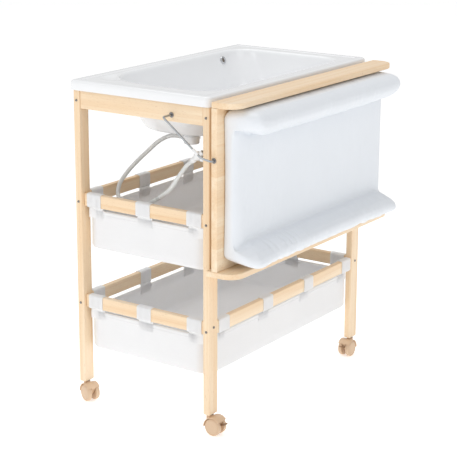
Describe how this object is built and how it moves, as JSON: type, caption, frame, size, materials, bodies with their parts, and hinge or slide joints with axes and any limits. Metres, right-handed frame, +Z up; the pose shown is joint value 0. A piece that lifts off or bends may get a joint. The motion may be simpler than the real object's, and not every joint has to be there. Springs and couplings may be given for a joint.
{
  "type": "changing table with bath",
  "caption": "Baby changing table: wooden frame on casters with hung fabric baskets, a drop-in bath with a drain hose, and a padded changing board that swings over the bath.",
  "frame": {"origin": "on the floor, under the middle of the whole table with its changing board hanging", "axes": "+Z up; +X along the long side; -Y is the side where the changing board hangs, so +Y is the back"},
  "size_m": [0.8964, 0.6282, 0.96],
  "materials": {
    "beech": "satin",
    "bath_plastic": "gloss",
    "plug_rubber": "satin",
    "overflow_chrome": "polished",
    "hose_plastic": "satin",
    "white_plastic": "satin",
    "basket_fabric": "matte",
    "mat_vinyl": "satin",
    "arm_steel": "satin",
    "pin_steel": "satin",
    "cap_plastic": "matte",
    "caster_hood_plastic": "satin",
    "caster_wheel_plastic": "satin"
  },
  "bodies": {
    "frame": {"post_front_left": "beech", "post_front_right": "beech", "post_back_left": "beech", "post_back_right": "beech", "top_rail_left": "beech", "top_rail_right": "beech", "top_rail_front": "beech", "top_rail_back": "beech", "upper_rail_left": "beech", "upper_rail_right": "beech", "upper_rail_front": "beech", "upper_rail_back": "beech", "lower_rail_left": "beech", "lower_rail_right": "beech", "lower_rail_front": "beech", "lower_rail_back": "beech", "bath_tub": "bath_plastic", "drain_cup": "bath_plastic", "overflow_ring": "overflow_chrome", "drain_hose": "hose_plastic", "hose_end": "white_plastic", "hose_clip": "white_plastic", "upper_basket": "basket_fabric", "lower_basket": "basket_fabric", "rail_bush_left": "pin_steel", "rail_bush_right": "pin_steel", "caster_stem_front_left": "pin_steel", "caster_stem_front_right": "pin_steel", "caster_stem_back_left": "pin_steel", "caster_stem_back_right": "pin_steel"},
    "swing_arms": {"swing_arm_left": "arm_steel", "swing_arm_right": "arm_steel", "arm_cap_left": "cap_plastic", "arm_cap_right": "cap_plastic"},
    "changing_unit": {"changing_board": "beech", "side_board_top": "beech", "side_board_bottom": "beech", "changing_mat": "mat_vinyl", "board_bush_left": "pin_steel", "board_bush_right": "pin_steel"},
    "plug": {"drain_plug": "plug_rubber"},
    "caster_front_left": {"caster_hood_front_left": "caster_hood_plastic", "caster_axle_front_left": "pin_steel"},
    "wheel_a_front_left": {"caster_wheel_a_front_left": "caster_wheel_plastic"},
    "wheel_b_front_left": {"caster_wheel_b_front_left": "caster_wheel_plastic"},
    "brake_front_left": {"brake_lever_front_left": "cap_plastic"},
    "caster_front_right": {"caster_hood_front_right": "caster_hood_plastic", "caster_axle_front_right": "pin_steel"},
    "wheel_a_front_right": {"caster_wheel_a_front_right": "caster_wheel_plastic"},
    "wheel_b_front_right": {"caster_wheel_b_front_right": "caster_wheel_plastic"},
    "brake_front_right": {"brake_lever_front_right": "cap_plastic"},
    "caster_back_left": {"caster_hood_back_left": "caster_hood_plastic", "caster_axle_back_left": "pin_steel"},
    "wheel_a_back_left": {"caster_wheel_a_back_left": "caster_wheel_plastic"},
    "wheel_b_back_left": {"caster_wheel_b_back_left": "caster_wheel_plastic"},
    "caster_back_right": {"caster_hood_back_right": "caster_hood_plastic", "caster_axle_back_right": "pin_steel"},
    "wheel_a_back_right": {"caster_wheel_a_back_right": "caster_wheel_plastic"},
    "wheel_b_back_right": {"caster_wheel_b_back_right": "caster_wheel_plastic"}
  },
  "joints": [
    {"name": "arm_swing", "type": "hinge", "parent": "frame", "child": "swing_arms", "pos_m": [0, -0.03686, 0.897], "axis": [1, 0, 0], "range_deg": [-189.86, 0]},
    {"name": "board_turn", "type": "hinge", "parent": "swing_arms", "child": "changing_unit", "pos_m": [0, -0.19436, 0.79554], "axis": [1, 0, 0], "range_deg": [0, 99.86]},
    {"name": "plug_lift", "type": "slide", "parent": "frame", "child": "plug", "axis": [0, 0, 1], "range_m": [0, 0.04]},
    {"name": "swivel_front_left", "type": "hinge", "parent": "frame", "child": "caster_front_left", "pos_m": [-0.388, -0.15186, 0.05], "axis": [0, 0, 1], "continuous": true},
    {"name": "roll_a_front_left", "type": "hinge", "parent": "caster_front_left", "child": "wheel_a_front_left", "pos_m": [-0.388, -0.16986, 0.025], "axis": [1, 0, 0], "continuous": true},
    {"name": "roll_b_front_left", "type": "hinge", "parent": "caster_front_left", "child": "wheel_b_front_left", "pos_m": [-0.388, -0.16986, 0.025], "axis": [1, 0, 0], "continuous": true},
    {"name": "brake_press_front_left", "type": "hinge", "parent": "caster_front_left", "child": "brake_front_left", "pos_m": [-0.388, -0.18774, 0.03144], "axis": [1, 0, 0], "range_deg": [0, 12]},
    {"name": "swivel_front_right", "type": "hinge", "parent": "frame", "child": "caster_front_right", "pos_m": [0.388, -0.15186, 0.05], "axis": [0, 0, 1], "continuous": true},
    {"name": "roll_a_front_right", "type": "hinge", "parent": "caster_front_right", "child": "wheel_a_front_right", "pos_m": [0.37, -0.15186, 0.025], "axis": [0, -1, 0], "continuous": true},
    {"name": "roll_b_front_right", "type": "hinge", "parent": "caster_front_right", "child": "wheel_b_front_right", "pos_m": [0.37, -0.15186, 0.025], "axis": [0, -1, 0], "continuous": true},
    {"name": "brake_press_front_right", "type": "hinge", "parent": "caster_front_right", "child": "brake_front_right", "pos_m": [0.35212, -0.15186, 0.03144], "axis": [0, -1, 0], "range_deg": [0, 12]},
    {"name": "swivel_back_left", "type": "hinge", "parent": "frame", "child": "caster_back_left", "pos_m": [-0.388, 0.29614, 0.05], "axis": [0, 0, 1], "continuous": true},
    {"name": "roll_a_back_left", "type": "hinge", "parent": "caster_back_left", "child": "wheel_a_back_left", "pos_m": [-0.39416, 0.27922, 0.025], "axis": [0.9397, -0.342, 0], "continuous": true},
    {"name": "roll_b_back_left", "type": "hinge", "parent": "caster_back_left", "child": "wheel_b_back_left", "pos_m": [-0.39416, 0.27922, 0.025], "axis": [0.9397, -0.342, 0], "continuous": true},
    {"name": "swivel_back_right", "type": "hinge", "parent": "frame", "child": "caster_back_right", "pos_m": [0.388, 0.29614, 0.05], "axis": [0, 0, 1], "continuous": true},
    {"name": "roll_a_back_right", "type": "hinge", "parent": "caster_back_right", "child": "wheel_a_back_right", "pos_m": [0.38334, 0.27875, 0.025], "axis": [0.9659, -0.2588, 0], "continuous": true},
    {"name": "roll_b_back_right", "type": "hinge", "parent": "caster_back_right", "child": "wheel_b_back_right", "pos_m": [0.38334, 0.27875, 0.025], "axis": [0.9659, -0.2588, 0], "continuous": true}
  ],
  "couplings": [
    {"joint": "board_turn", "follows": "arm_swing", "ratio": -0.52596}
  ]
}
